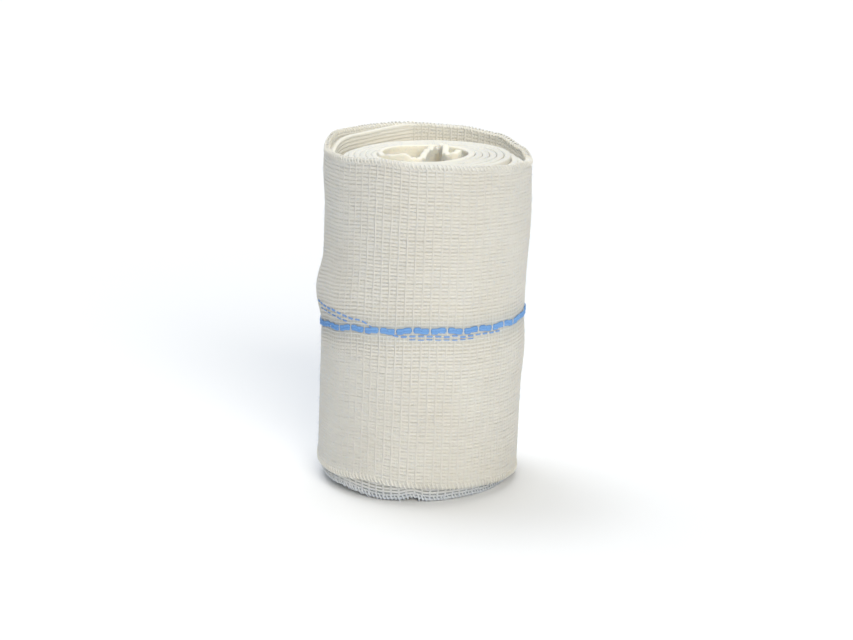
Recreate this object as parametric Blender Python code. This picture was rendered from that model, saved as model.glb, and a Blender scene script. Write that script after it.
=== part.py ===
"""Cotton gauze roll: a knitted tube pressed flat, wound on itself, with one blue tracer yarn.

The roll stands on end, +Z up, in metres. Its origin is the centre of its box at floor level.
The web is one strip from the fold in the eye to the free end at the back, so its wall is one
solid spiral, wound clockwise outward seen from above. Azimuths run counterclockwise from +X, so
that 270 degrees is the front.
"""
import math

import bmesh
import bpy

MM = 0.001
DEGREE = math.pi / 180
FULL_TURN = 2 * math.pi

# Web: the knitted tube lies flat, so its wall is two plies of gauze
WEB_WIDTH = 75.0 * MM
WEB_THICKNESS = 1.2 * MM
TURN_GAP = 0.35 * MM
EDGE_FOLD = 0.6 * MM

# Roll
ROLL_DIAMETER = 48.2 * MM
EYE_DIAMETER = 18.6 * MM
EYE_OVAL = 0.6 * MM
EYE_AXIS = 10 * DEGREE
EYE_SHIFT = -1.6 * MM
FREE_END = 100 * DEGREE
WINDING = -1
LEAN = 2.9 * MM

# Inner end: it leaves the eye's wall and zigzags across the eye. Points in shares of the eye's
# radius from its middle: towards the start of the spiral, and a quarter turn on from there
END_FOLD = (
    (0.946, 0.126),
    (0.852, 0.216),
    (0.718, 0.231),
    (0.523, 0.199),
    (0.219, 0.146),
    (-0.084, 0.094),
    (-0.363, 0.039),
    (-0.579, -0.001),
    (-0.723, 0.010),
    (-0.813, 0.090),
    (-0.803, 0.210),
    (-0.704, 0.308),
    (-0.524, 0.380),
    (-0.301, 0.459),
    (-0.101, 0.539),
    (0.050, 0.623),
    (0.132, 0.737),
    (0.098, 0.851),
    (-0.024, 0.894),
    (-0.202, 0.846),
    (-0.425, 0.768),
)
FOLD_LEAD = 0.03
CORE_RISE = 2.0 * MM
CORE_RISE_TURNS = 1.0

# The outer turn has slid up the roll, most at the back and left
OUTER_RISE = 6.0 * MM
BULGE_DEPTH = 1.5 * MM
BULGE_TURNS = 3.0

# Tracer yarn, knitted in as floats that pass over every second rib
TRACER_WIDTH = 1.1 * MM
TRACER_THICKNESS = 0.5 * MM
TRACER_CLEARANCE = 0.3 * MM
RIB_PITCH = 1.95 * MM
FLOAT_RISE = 0.25 * MM
FLOAT_PINCH = 0.35

# Facets
SECTIONS_PER_TURN = 30
SECTIONS_PER_KNOT = 2
SECTIONS_PER_FLOAT = 3
TRACER_SIDES = 6
SHARP_ANGLE = 40 * DEGREE

# Lower edge of the outer turn: azimuth in degrees, height as a share of OUTER_RISE
EDGE_COURSE = (
    (0, 0.20),
    (20, 0.38),
    (45, 0.67),
    (75, 0.84),
    (105, 0.94),
    (135, 0.95),
    (160, 1.00),
    (190, 0.66),
    (215, 0.66),
    (240, 0.77),
    (270, 0.62),
    (300, 0.47),
    (330, 0.34),
)

# How much of that rise a turn takes: turns before the free end, share of EDGE_COURSE
RISE_FADE = (
    (0.00, 1.00),
    (0.97, 1.00),
    (1.12, 0.75),
    (1.30, 0.40),
    (1.42, 0.03),
    (1.60, 0.00),
)

# Course of the tracer: azimuth in degrees, height as a share of WEB_WIDTH
TRACER_COURSE = (
    (0, 0.543),
    (60, 0.550),
    (120, 0.540),
    (160, 0.510),
    (183, 0.500),
    (205, 0.517),
    (235, 0.532),
    (270, 0.541),
    (300, 0.535),
    (330, 0.539),
)

# Soft bulges of the outer turns: azimuth and half span in degrees,
# height and half height as shares of WEB_WIDTH, depth as a share of BULGE_DEPTH
BULGES = (
    (180, 75, 0.61, 0.12, 1.00),
    (185, 60, 1.00, 0.14, 0.40),
    (0, 70, 0.83, 0.20, 0.33),
    (0, 60, 0.42, 0.13, 0.33),
    (95, 70, 0.33, 0.18, 0.35),
)

# Heights of the facets as shares of WEB_WIDTH, for inner turns and for turns that bulge
PLAIN_LEVELS = (0.0, 1.0)
SOFT_LEVELS = (0.0, 0.12, 0.24, 0.36, 0.46, 0.54, 0.61, 0.68, 0.76, 0.88, 1.0)

# Sizes worked out from the named ones
PITCH = WEB_THICKNESS + TURN_GAP
EYE_RADIUS = EYE_DIAMETER / 2
END_RADIUS = (ROLL_DIAMETER + PITCH / 2 - WEB_THICKNESS) / 2
TURNS = (END_RADIUS - EYE_RADIUS) / PITCH
SPIRAL_START = FREE_END - WINDING * FULL_TURN * TURNS


def smooth_step(share):
    """Ease from 0 to 1."""
    share = min(max(share, 0.0), 1.0)
    return share * share * (3 - 2 * share)


def between(rows, place):
    """Read a table of (place, value) rows, eased from row to row."""
    for (place_a, value_a), (place_b, value_b) in zip(rows, rows[1:]):
        if place <= place_b:
            share = (place - place_a) / (place_b - place_a)
            return value_a + (value_b - value_a) * smooth_step(share)
    return rows[-1][1]


def round_the_roll(rows, azimuth):
    """Read a table of (azimuth in degrees, value) rows that closes on itself."""
    closed = rows + ((rows[0][0] + 360, rows[0][1]),)
    return between(closed, (azimuth / DEGREE) % 360)


def lobe(distance, reach):
    """A soft hump: 1 at its middle, 0 from its reach on."""
    if abs(distance) >= reach:
        return 0.0
    return math.cos(math.pi / 2 * distance / reach) ** 2


def turns_to_end(turn):
    return TURNS - turn


def azimuth_of(turn):
    return SPIRAL_START + WINDING * FULL_TURN * turn


def spiral(turn):
    """The wound part of the wall's middle line. Its eye is oval, and a little off the axis."""
    inwards = 1 - turn / TURNS
    azimuth = azimuth_of(turn)
    radius = EYE_RADIUS + PITCH * turn + EYE_OVAL * inwards * math.cos(2 * (azimuth - EYE_AXIS))
    return radius * math.cos(azimuth) + EYE_SHIFT * inwards, radius * math.sin(azimuth)


def fold_knot(towards, across):
    """A point of the inner end, placed from the middle of the eye and the spiral's start."""
    reach = EYE_RADIUS * math.hypot(towards, across)
    azimuth = SPIRAL_START + math.atan2(across, towards)
    return EYE_SHIFT + reach * math.cos(azimuth), reach * math.sin(azimuth)


def folded_end(turn):
    """The zigzag across the eye, as a smooth curve through its points, from 0 back to -1."""
    knots = [spiral(FOLD_LEAD), spiral(0.0)]
    knots += [fold_knot(towards, across) for towards, across in END_FOLD]
    knots.append(tuple(2 * last - earlier for last, earlier in zip(knots[-1], knots[-2])))
    place = min(-turn, 1.0) * (len(knots) - 3)
    knot = min(int(place), len(knots) - 4)
    share = place - knot
    point = []
    for before, here, there, beyond in zip(*knots[knot : knot + 4]):
        bend = 2 * before - 5 * here + 4 * there - beyond
        twist = 3 * here - before - 3 * there + beyond
        point.append(here + share * ((there - before) + share * (bend + share * twist)) / 2)
    return tuple(point)


def midline(turn):
    """Middle of the wall: the spiral for turn >= 0, and for turn < 0 the folded inner end."""
    return spiral(turn) if turn >= 0 else folded_end(turn)


def outward(turn):
    """Unit normal of the wall, on the side that faces out of the roll."""
    step = 0.002
    x_before, y_before = midline(turn - step)
    x_after, y_after = midline(turn + step)
    along_x = x_after - x_before
    along_y = y_after - y_before
    length = math.hypot(along_x, along_y)
    return WINDING * along_y / length, -WINDING * along_x / length


def lower_edge(turn):
    """Height of the lower edge of the web above the floor."""
    course = round_the_roll(EDGE_COURSE, azimuth_of(turn))
    slid = OUTER_RISE * course * between(RISE_FADE, turns_to_end(turn))
    drawn = CORE_RISE * (1 - smooth_step(turn / CORE_RISE_TURNS))
    return slid + drawn


def bulge(turn, height):
    """How far the wall stands out of the spiral at a height above the floor."""
    share = (BULGE_TURNS - turns_to_end(turn)) / (BULGE_TURNS - 1)
    share = min(max(share, 0.0), 1.0)
    if share == 0.0:
        return 0.0
    azimuth = azimuth_of(turn) / DEGREE
    total = 0.0
    for centre, half_span, level, half_height, depth in BULGES:
        turned = (azimuth - centre + 180) % 360 - 180
        total += depth * lobe(turned, half_span) * lobe(height / WEB_WIDTH - level, half_height)
    return BULGE_DEPTH * share * total


def wall_point(turn, height, offset):
    """A point at a height, at an offset out of the middle of the wall."""
    x, y = midline(turn)
    normal_x, normal_y = outward(turn)
    out = offset + bulge(turn, height)
    lean = LEAN * (height / WEB_WIDTH - 0.5)
    return x + normal_x * out + lean, y + normal_y * out, height


def add_column(bm, turn):
    """One cross-section of the web: its outer side, its inner side and the fold on top."""
    levels = SOFT_LEVELS if turns_to_end(turn) < BULGE_TURNS else PLAIN_LEVELS
    foot = lower_edge(turn)
    side_height = WEB_WIDTH - EDGE_FOLD
    half = WEB_THICKNESS / 2
    outer = []
    inner = []
    for level in levels:
        height = foot + level * side_height
        outer.append(bm.verts.new(wall_point(turn, height, half)))
        inner.append(bm.verts.new(wall_point(turn, height, -half)))
    fold = bm.verts.new(wall_point(turn, foot + WEB_WIDTH, 0.0))
    return {"levels": levels, "outer": outer, "inner": inner, "fold": fold}


def stitch(bm, first, second, side):
    """Faces between the same side of two columns, which may have different levels."""
    a = 0
    b = 0
    last_a = len(first["levels"]) - 1
    last_b = len(second["levels"]) - 1
    while a < last_a or b < last_b:
        next_a = first["levels"][a + 1] if a < last_a else math.inf
        next_b = second["levels"][b + 1] if b < last_b else math.inf
        corners = [first[side][a], second[side][b]]
        if next_b <= next_a:
            b += 1
            corners.append(second[side][b])
        if next_a <= next_b:
            a += 1
            corners.append(first[side][a])
        bm.faces.new(corners)


def join_columns(bm, first, second):
    for side in ("outer", "inner"):
        stitch(bm, first, second, side)
        bm.faces.new((first[side][-1], second[side][-1], second["fold"], first["fold"]))
    bm.faces.new((first["outer"][0], second["outer"][0], second["inner"][0], first["inner"][0]))


def close_end(bm, column):
    """The cut end of the strip."""
    outer = column["outer"]
    inner = column["inner"]
    for level in range(len(outer) - 1):
        bm.faces.new((outer[level], outer[level + 1], inner[level + 1], inner[level]))
    bm.faces.new((outer[-1], column["fold"], inner[-1]))


def make_material(name, colour, roughness):
    material = bpy.data.materials.new(name)
    material.use_nodes = True
    shader = material.node_tree.nodes["Principled BSDF"]
    shader.inputs["Base Color"].default_value = (*colour, 1.0)
    shader.inputs["Roughness"].default_value = roughness
    shader.inputs["Metallic"].default_value = 0.0
    return material


def make_object(name, bm, material):
    bmesh.ops.recalc_face_normals(bm, faces=bm.faces)
    mesh = bpy.data.meshes.new(name)
    bm.to_mesh(mesh)
    bm.free()
    mesh.materials.append(material)
    mesh.shade_smooth()
    mesh.set_sharp_from_angle(angle=SHARP_ANGLE)
    piece = bpy.data.objects.new(name, mesh)
    bpy.context.scene.collection.objects.link(piece)
    return piece


def web_stations():
    """Places of the cross-sections along the strip, from the inner end to the free end."""
    fold_sections = SECTIONS_PER_KNOT * len(END_FOLD)
    fold = [i / fold_sections - 1 for i in range(fold_sections)]
    # The sections of all turns line up, so that their facets lie one inside the other
    count = int(TURNS * SECTIONS_PER_TURN - 0.5)
    spiral = [TURNS - (count - i) / SECTIONS_PER_TURN for i in range(count + 1)]
    return fold + [0.0] + spiral


def make_web():
    bm = bmesh.new()
    columns = [add_column(bm, turn) for turn in web_stations()]
    for first, second in zip(columns, columns[1:]):
        join_columns(bm, first, second)
    close_end(bm, columns[0])
    close_end(bm, columns[-1])
    return make_object("gauze_web", bm, make_material("bleached_cotton", (0.80, 0.76, 0.66), 0.9))


def tracer_section(turn, swell):
    """Points round the yarn: swell is 1 on top of a float and 0 where it dips to a rib."""
    course = WEB_WIDTH * round_the_roll(TRACER_COURSE, azimuth_of(turn))
    fullness = 1 - FLOAT_PINCH * (1 - swell)
    half_width = TRACER_WIDTH / 2 * fullness
    half_depth = TRACER_THICKNESS / 2 * fullness
    seat = WEB_THICKNESS / 2 + TRACER_CLEARANCE + half_depth + FLOAT_RISE * swell
    points = []
    for side in range(TRACER_SIDES):
        angle = FULL_TURN * (side + 0.5) / TRACER_SIDES
        height = course + half_width * math.cos(angle)
        offset = seat + half_depth * math.sin(angle)
        # The whole section follows the wall at the yarn's own height
        x, y, _ = wall_point(turn, course, offset)
        points.append((x, y, height))
    return points


def make_tracer():
    """The stretch of the tracer that shows: once round the outer turn, up to the free end."""
    end_gap = TRACER_CLEARANCE / (FULL_TURN * END_RADIUS)
    first_turn = TURNS - 1 + 2 * end_gap
    last_turn = TURNS - end_gap
    length = FULL_TURN * END_RADIUS * (last_turn - first_turn)
    floats = round(length / (2 * RIB_PITCH))
    sections = floats * SECTIONS_PER_FLOAT
    bm = bmesh.new()
    rings = []
    for section in range(sections + 1):
        share = section / sections
        swell = 0.5 - 0.5 * math.cos(FULL_TURN * floats * share)
        turn = first_turn + (last_turn - first_turn) * share
        rings.append([bm.verts.new(point) for point in tracer_section(turn, swell)])
    for ring, following in zip(rings, rings[1:]):
        for side in range(TRACER_SIDES):
            beside = (side + 1) % TRACER_SIDES
            bm.faces.new((ring[side], ring[beside], following[beside], following[side]))
    bm.faces.new(rings[0])
    bm.faces.new(rings[-1])
    return make_object("tracer_yarn", bm, make_material("blue_cotton", (0.16, 0.38, 0.80), 0.85))


def centre_on_origin(pieces):
    """Move all pieces together so that the middle of their box is on the Z axis."""
    xs = [vertex.co.x for piece in pieces for vertex in piece.data.vertices]
    ys = [vertex.co.y for piece in pieces for vertex in piece.data.vertices]
    zs = [vertex.co.z for piece in pieces for vertex in piece.data.vertices]
    shift = (-(min(xs) + max(xs)) / 2, -(min(ys) + max(ys)) / 2, -min(zs))
    for piece in pieces:
        for vertex in piece.data.vertices:
            vertex.co.x += shift[0]
            vertex.co.y += shift[1]
            vertex.co.z += shift[2]


def main():
    for leftover in list(bpy.data.objects):
        bpy.data.objects.remove(leftover)
    centre_on_origin([make_web(), make_tracer()])


main()
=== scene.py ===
"""A cotton gauze roll in soft studio light: the knit of its outer turn is laid yarn by yarn.

Metres, +Z up, the roll's own frame. Azimuths run counterclockwise from +X, 270 degrees is the
front. A place on the web is its turn, counted along the strip from the eye, and its girth, which
runs from 0 at the lower fold to 1 at the upper fold over the outer side, and on past 1 down the
inner side.
"""
import math

import bpy
import numpy as np
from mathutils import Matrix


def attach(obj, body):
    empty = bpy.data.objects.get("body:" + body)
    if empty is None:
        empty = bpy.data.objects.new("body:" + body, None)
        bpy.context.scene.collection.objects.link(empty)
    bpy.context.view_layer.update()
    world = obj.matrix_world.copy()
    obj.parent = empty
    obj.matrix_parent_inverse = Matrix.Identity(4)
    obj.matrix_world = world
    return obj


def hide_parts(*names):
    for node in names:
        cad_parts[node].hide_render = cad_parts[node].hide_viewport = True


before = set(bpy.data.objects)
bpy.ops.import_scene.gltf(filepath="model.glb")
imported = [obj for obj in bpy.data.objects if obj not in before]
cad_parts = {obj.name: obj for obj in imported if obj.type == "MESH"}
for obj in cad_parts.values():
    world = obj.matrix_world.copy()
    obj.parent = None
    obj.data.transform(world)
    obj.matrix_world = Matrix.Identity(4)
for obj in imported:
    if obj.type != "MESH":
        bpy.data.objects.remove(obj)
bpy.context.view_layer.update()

MM = 0.001
DEGREE = math.pi / 180
FULL_TURN = 2 * math.pi
CHANCE = np.random.default_rng(75)

# Web: the knitted tube lies flat, two plies thick
WEB_WIDTH = 75.0 * MM
CAD_THICKNESS = 1.2 * MM
TURN_GAP = 0.35 * MM
WALL_THICKNESS = 1.53 * MM
LEAST_CREVICE = 0.015 * MM
FOLD_HEIGHT = 1.3 * MM
INNER_FOLD_HEIGHT = 0.16 * MM
YARN_SEAT = 0.36 * MM
INNER_YARN_SEAT = 0.14 * MM

# Roll
ROLL_DIAMETER = 48.2 * MM
EYE_DIAMETER = 18.6 * MM
EYE_OVAL = 0.6 * MM
EYE_AXIS = 10 * DEGREE
EYE_SHIFT = -1.6 * MM
FREE_END = 100 * DEGREE
WINDING = -1
LEAN = 2.9 * MM
AXIS_X = 0.338 * MM
AXIS_Y = -0.008 * MM

# Inner end: it leaves the eye's wall and zigzags across the eye. Points in shares of the eye's
# radius from its middle: towards the start of the spiral, and a quarter turn on from there
END_FOLD = (
    (0.946, 0.126),
    (0.852, 0.216),
    (0.718, 0.231),
    (0.523, 0.199),
    (0.219, 0.146),
    (-0.084, 0.094),
    (-0.363, 0.039),
    (-0.579, -0.001),
    (-0.723, 0.010),
    (-0.813, 0.090),
    (-0.803, 0.210),
    (-0.704, 0.308),
    (-0.524, 0.380),
    (-0.301, 0.459),
    (-0.101, 0.539),
    (0.050, 0.623),
    (0.132, 0.737),
    (0.098, 0.851),
    (-0.024, 0.894),
    (-0.202, 0.846),
    (-0.425, 0.768),
)
FOLD_LEAD = 0.03
CORE_RISE = 0.8 * MM
CORE_RISE_TURNS = 1.0
INNER_LIFT = 2.0 * MM
INNER_LIFT_TURNS = 4.0
INNER_LIFT_FADE = 2.3

# The outer turn has slid up the roll
OUTER_RISE = 6.0 * MM
BULGE_DEPTH = 1.5 * MM
BULGE_TURNS = 3.0

# The turns beneath it draw in at the foot, and lift off the floor at one place
TUCK_DEPTH = 1.0 * MM
TUCK_HEIGHT = 5.0 * MM
TUCK_LAST_TURNS = 1.25
TUCK_FADE = 0.25
LIFT_AZIMUTH = 267.0
LIFT_SPAN = 9.0
LIFT_HEIGHT = 0.8 * MM
SHADE_HEIGHT = 6.5 * MM
FLOOR_CLEARANCE = 0.02 * MM

# Soft wall: thin at both ends of the strip, and seated under the yarns of the outer turn
THIN_END_SHARE = 0.45
OUTER_END_REACH = 4.0 * MM
INNER_END_TURNS = 0.05
ROUND_FOLD_TURNS = 1.4
SEAT_TURNS = 1.02
SEAT_FADE = 0.02

# Ups and downs of the edges
HEAD_RIPPLE = 0.10 * MM
CORE_CRUMPLE = 0.55 * MM
CORE_CRUMPLE_TURNS = 0.35
OUTER_CALM = 0.6
OUTER_CALM_TURNS = 1.5
FOOT_RIPPLE = 0.25 * MM
FOOT_RIPPLE_RATE = 61.0
FOOT_RIPPLE_MIDDLE = 1.46
FOOT_RIPPLE_TURNS = 0.55

# Shade at the foot and glow at the top: where they begin and end, in turns, and how strong
SHADE_FIRST_TURNS = 2.6
SHADE_LAST_TURNS = 1.1
SHADE_FADE = 0.15
GLOW_LAST_TURNS = 1.6
RIM_GLOW = 0.45
DISC_GLOW = 0.12
EYE_GLOW = 0.55
EYE_GLOW_TURNS = 2

# Points of the meshes
STRIP_STEPS = 4000
STRIP_TAIL_TURNS = 0.05
FOLD_RINGS = 6
SIDE_RINGS = 27
FOLD_STATIONS = 130
SPIRAL_STATIONS = 1040

# Knit
ROW_PITCH = 0.82 * MM
RIB_PITCH = 1.95 * MM
ROWS_PER_HALF = 45
ROWS_PAST_TOP = 10
ROWS_PAST_BOTTOM = 3
RIM_TURNS = 1.65
SAMPLES_PER_RIB = 3
ROW_LIFT = 0.14 * MM
ROW_WEAVE = 0.008 * MM
ROW_HALF_WIDTH = 0.43 * MM
OPEN_ROW_HALF_WIDTH = 0.21 * MM
ROW_HALF_DEPTH = 0.10 * MM
RIB_LIFT = 0.195 * MM
RIB_HALF_WIDTH = 0.34 * MM
OPEN_RIB_HALF_WIDTH = 0.19 * MM
HALF_RIB_HALF_WIDTH = 0.16 * MM
RIB_HALF_DEPTH = 0.05 * MM
OPEN_ABOVE = 3.4 * MM
OPEN_BELOW = 3.8 * MM
# Reaches of the painted shade at the folds and beside the tracer
FOLD_TINT_REACH = 3.0 * MM
OPEN_TINT_REACH = 4.5 * MM
FOOT_TURNS = 1.7
FOOT_ROWS = 9
FOOT_ROW_HALF_WIDTH = 0.30 * MM
FOOT_LAST_TURNS = 0.96
YARN_SIDES = 6
RIB_SIDES = 4
NORMAL_PROBE = 0.1 * MM
GIRTH_PROBE = 0.0005

# Spacing of the rows: how much wider the steps beside the tracer are, and over how many rows
TRACER_ROOM = 0.35
UPPER_SPREAD = 0.10
UPPER_SPREAD_ROWS = 4.0
LOWER_SPREAD = 0.30
LOWER_SPREAD_ROWS = 3.0

# Rows: seeded wander of their course and fullness, and loose ends past the cut
ROW_START = 0.4 * MM
PHASE_STEPS = 2000
ROW_WANDER = 0.05 * MM
ROW_WANDER_WAVES = (3, 7, 16, 31)
ROW_PLUMP = 0.04
ROW_PLUMP_WAVES = (13, 29, 47)
OPEN_ROW_FLATTENING = 0.2
FRAY_LENGTHS = (0.3 * MM, 2.6 * MM)
FRAY_POINTS = 4
FRAY_SWERVE = 0.10
FRAY_CURVE = 1.5
FRAY_LIFTS = (-0.05, 0.12)
FRAY_TAPER = 0.6
FRAY_TAPER_REACH = 2.0

# Ribs: seeded wander, the beads along them, and how they cross the tracer
RIB_WANDER = 0.08 * MM
RIB_WANDER_WAVES = (2, 5, 11)
BEAD_LIFT = 0.02 * MM
BEAD_WIDENING = 0.12
TRACER_CROSSING = 1.4 * MM
RIB_OVER_TRACER = 0.16 * MM
RIB_UNDER_TRACER = -0.30 * MM

# Stitches: the loops that wrap the folds
LOWER_STITCH_GIRTHS = (-0.010, 0.024)
UPPER_STITCH_GIRTHS = (0.984, 1.012)
FOOT_STITCH_GIRTHS = (-0.010, 0.018)
STITCH_STRAY = 0.1
STITCH_SLANT = 0.55
STITCH_REACHES = (0.85, 1.1)
STITCH_LIFT = 0.26 * MM
STITCH_ARCH = 0.16 * MM
STITCH_END_SHARE = 0.6
STITCH_HALF_DEPTH = 0.14 * MM
STITCH_HALF_WIDTH = 0.24 * MM

# Tracer: shares are of the two ribs that each float spans
TRACER_START = 2.0 * MM
TRACER_SHORTFALL = 3.0 * MM
TRACER_POINTS_PER_RIB = 12
TRACER_SIDES = 8
DIP_SHARE = 0.06
DIP_EASE = 0.05
DIP_SPREAD = 0.35
DIP_FULLNESS = 0.45
STEP_SHARPNESS = 14
NOTCH_SHARE = 0.045
NOTCH_DEPTH = 0.5
STRAND_SPREAD = 0.30 * MM
STRAND_STEP = 0.13 * MM
STRAND_LIFT = 0.12 * MM
STRAND_RISE = 0.24 * MM
STRAND_TWIST = 0.05 * MM
STRAND_HALF_DEPTH = 0.24 * MM
STRAND_HALF_WIDTH = 0.40 * MM

# Floats of the tracer beneath: UNDER_START and UNDER_LENGTH are shares of a rib
UNDER_START = 0.62
UNDER_LENGTH = 0.76
UNDER_WANDER = 0.06 * MM
UNDER_EASE = 0.12
UNDER_LIFT = 0.20 * MM
UNDER_RISE = 0.08 * MM
UNDER_END_FULLNESS = 0.3
UNDER_WIDTH_SHARES = (0.75, 1.1)
UNDER_HALF_DEPTH = 0.12 * MM

# Loose fibres: rise and curl are shares of their length
OUTER_FIBRES = 5500
DISC_FIBRES = 2500
OUTER_FIBRE_GIRTHS = (-0.005, 1.03)
DISC_FIBRE_GIRTHS = (0.975, 1.02)
FIBRE_SIDES = 3
FIBRE_LIFT = 0.22 * MM
FIBRE_RISES = (0.15, 0.9)
FIBRE_LENGTHS = (0.4 * MM, 1.3 * MM)
FIBRE_CURLS = (-0.5, 0.3)
FIBRE_LOFT = 0.8
FIBRE_TAPER = 0.6
FUZZ_RADIUS = 0.022 * MM

# Studio
CAMERA_TILT = 14.8 * DEGREE
CAMERA_DISTANCE = 494.4 * MM
LOOK_AT_HEIGHT = 39.1 * MM
FOCAL_PIXELS = 2108.0
PHOTO_WIDTH = 853.0
PHOTO_HEIGHT = 640.0
LOOK_AT_PIXEL = (422.6, 313.0)
SENSOR_WIDTH = 36.0
CLIP_NEAR = 0.01
CLIP_FAR = 20.0
LIGHT_HEIGHT = 0.5
FLOOR_SIZE = 10.0
FLOOR_COLOUR = (0.95, 0.955, 0.97)
SKY_COLOUR = (0.78, 0.90, 1.0)
SKY_STRENGTH = 0.19

# Softboxes: name, azimuth, elevation and spread in degrees, brightness on a white floor, colour
SOFTBOXES = (
    ("front_softbox", 287.0, 26.0, 36.0, 0.30, (1.0, 0.945, 0.83)),
    ("top_softbox", 95.0, 78.0, 40.0, 0.45, (0.97, 0.98, 1.0)),
    ("back_softbox", 140.0, 58.0, 35.0, 0.20, (0.95, 0.97, 1.0)),
)

# Finishes, linear colours
COTTON_LIGHT = (0.810, 0.780, 0.705)
COTTON_DEEP = (0.760, 0.715, 0.630)
# The ground is a little darker than the yarns: painted shade in the gaps behind them
GROUND_LIGHT = (0.790, 0.762, 0.685)
GROUND_DEEP = (0.745, 0.705, 0.620)
# Painted cool shade near both folds of the web
FOLD_SHADE_TINT = (0.97, 1.0, 1.05)
# Painted shade in the open knit beside the tracer, where the shaded turn beneath shows through
OPEN_KNIT_SHADE_TINT = (0.88, 0.92, 0.98)
YARN_SHADE_TINT = (0.84, 0.91, 1.06)
GROUND_SHADE_TINT = (0.42, 0.48, 0.60)
# Painted glow: the eye and the inner turns are lightened towards this tone, for light that soaks
# through the gauze
PAINTED_GLOW_TONE = (0.95, 0.91, 0.80)
TRACER_LIGHT = (0.20, 0.39, 0.74)
TRACER_DEEP = (0.12, 0.29, 0.63)
UNDER_LIGHT = (0.24, 0.40, 0.72)
UNDER_DEEP = (0.18, 0.33, 0.64)
# Loose fibres painted blue-grey: painted cool shade that gathers at the roll's outline
FUZZ_SHADE_LIGHT = (0.72, 0.78, 0.86)
FUZZ_SHADE_DEEP = (0.62, 0.70, 0.80)

# Finishes: soft clouds and fine flecks, sizes in millimetres
CLOUD_SIZE = 14.0
CLOUD_CONTRAST = 1.9
CLOUD_OFFSET = -0.55
FLECK_SIZE = 0.3
FLECK_CONTRAST = 0.7
FLECK_OFFSET = -0.35
NOISE_DETAIL = 3.0

# Finishes: how matt they are, how far light soaks in, and their relief
ROUGHNESS = 0.95
SPECULAR = 0.15
SHEEN = 0.06
SHEEN_ROUGHNESS = 0.6
SHEEN_TINT = (0.75, 0.86, 1.0)
COTTON_SOAK = 0.3
TRACER_SOAK = 0.1
FUZZ_SOAK = 0.0
SOAK_RADIUS = (1.0, 0.85, 0.6)
SOAK_SCALE = 1.0 * MM
FIBRE_RELIEF = 0.5
FIBRE_RELIEF_DEPTH = 0.03 * MM
WEAVE_RELIEF = 0.35
WEAVE_RELIEF_DEPTH = 0.12 * MM
RIB_SHARPNESS = 4.0

# Lower edge of the outer turn: azimuth in degrees, height as a share of OUTER_RISE
EDGE_COURSE = (
    (0, 0.20),
    (20, 0.38),
    (45, 0.67),
    (75, 0.84),
    (105, 0.94),
    (135, 0.95),
    (160, 1.00),
    (190, 0.66),
    (215, 0.66),
    (240, 0.77),
    (270, 0.62),
    (300, 0.47),
    (330, 0.34),
)

# How much of that rise a turn takes: turns before the free end, share of EDGE_COURSE
RISE_FADE = (
    (0.00, 1.00),
    (0.97, 1.00),
    (1.12, 0.75),
    (1.30, 0.40),
    (1.42, 0.03),
    (1.60, 0.00),
)

# Course of the tracer: azimuth in degrees, height as a share of WEB_WIDTH
TRACER_COURSE = (
    (0, 0.543),
    (60, 0.550),
    (120, 0.540),
    (160, 0.510),
    (183, 0.500),
    (205, 0.521),
    (235, 0.540),
    (270, 0.550),
    (300, 0.543),
    (330, 0.539),
)

# The tracer of the turn beneath, seen through the knit: azimuth, millimetres above the tracer
UNDER_COURSE = (
    (0, -1.3),
    (90, 2.0),
    (150, 4.5),
    (190, 5.0),
    (206, 4.0),
    (233, 1.9),
    (246, 0.0),
    (258, -1.25),
    (320, -1.3),
)

# Bands of those floats: name, azimuths in degrees, height above UNDER_COURSE, half width
UNDER_BANDS = (
    ("under_tracer", 197, 322, 0.0, 0.26 * MM),
    ("under_tracer_left", 197, 226, -1.1 * MM, 0.18 * MM),
    ("under_tracer_front", 262, 300, -0.8 * MM, 0.16 * MM),
)

# Waves of the upper fold along the strip: radians a turn, phase, strength
HEAD_WAVES = (
    (11.3, 0.7, 0.5),
    (27.1, 0.0, 0.3),
    (53.0, 2.0, 0.2),
)
CRUMPLE_WAVES = (
    (21.0, 1.0, 0.7),
    (47.0, 0.0, 0.4),
    (88.0, 0.0, 0.3),
)

# Soft bulges of the outer turns: azimuth and half span in degrees,
# height and half height as shares of WEB_WIDTH, depth as a share of BULGE_DEPTH
BULGES = (
    (180, 75, 0.61, 0.12, 1.00),
    (185, 60, 1.00, 0.14, 0.40),
    (0, 70, 0.83, 0.20, 0.33),
    (0, 60, 0.42, 0.13, 0.33),
    (95, 70, 0.33, 0.18, 0.35),
)

# Sizes worked out from the named ones
PITCH = CAD_THICKNESS + TURN_GAP
EYE_RADIUS = EYE_DIAMETER / 2
END_RADIUS = (ROLL_DIAMETER + PITCH / 2 - CAD_THICKNESS) / 2
TURNS = (END_RADIUS - EYE_RADIUS) / PITCH
SPIRAL_START = FREE_END - WINDING * FULL_TURN * TURNS
OUTER_LENGTH = FULL_TURN * END_RADIUS
RIBS = round(OUTER_LENGTH / RIB_PITCH)


def smooth_step(share):
    share = np.clip(share, 0.0, 1.0)
    return share * share * (3 - 2 * share)


def between(rows, place):
    """Read a table of (place, value) rows, eased from row to row."""
    places = np.array([row[0] for row in rows], float)
    values = np.array([row[1] for row in rows], float)
    place = np.clip(place, places[0], places[-1])
    at = np.clip(np.searchsorted(places, place, side="right") - 1, 0, len(places) - 2)
    share = (place - places[at]) / (places[at + 1] - places[at])
    return values[at] + (values[at + 1] - values[at]) * smooth_step(share)


def round_the_roll(rows, azimuth):
    """Read a table of (azimuth in degrees, value) rows that closes on itself."""
    closed = rows + ((rows[0][0] + 360, rows[0][1]),)
    return between(closed, (azimuth / DEGREE) % 360)


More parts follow.
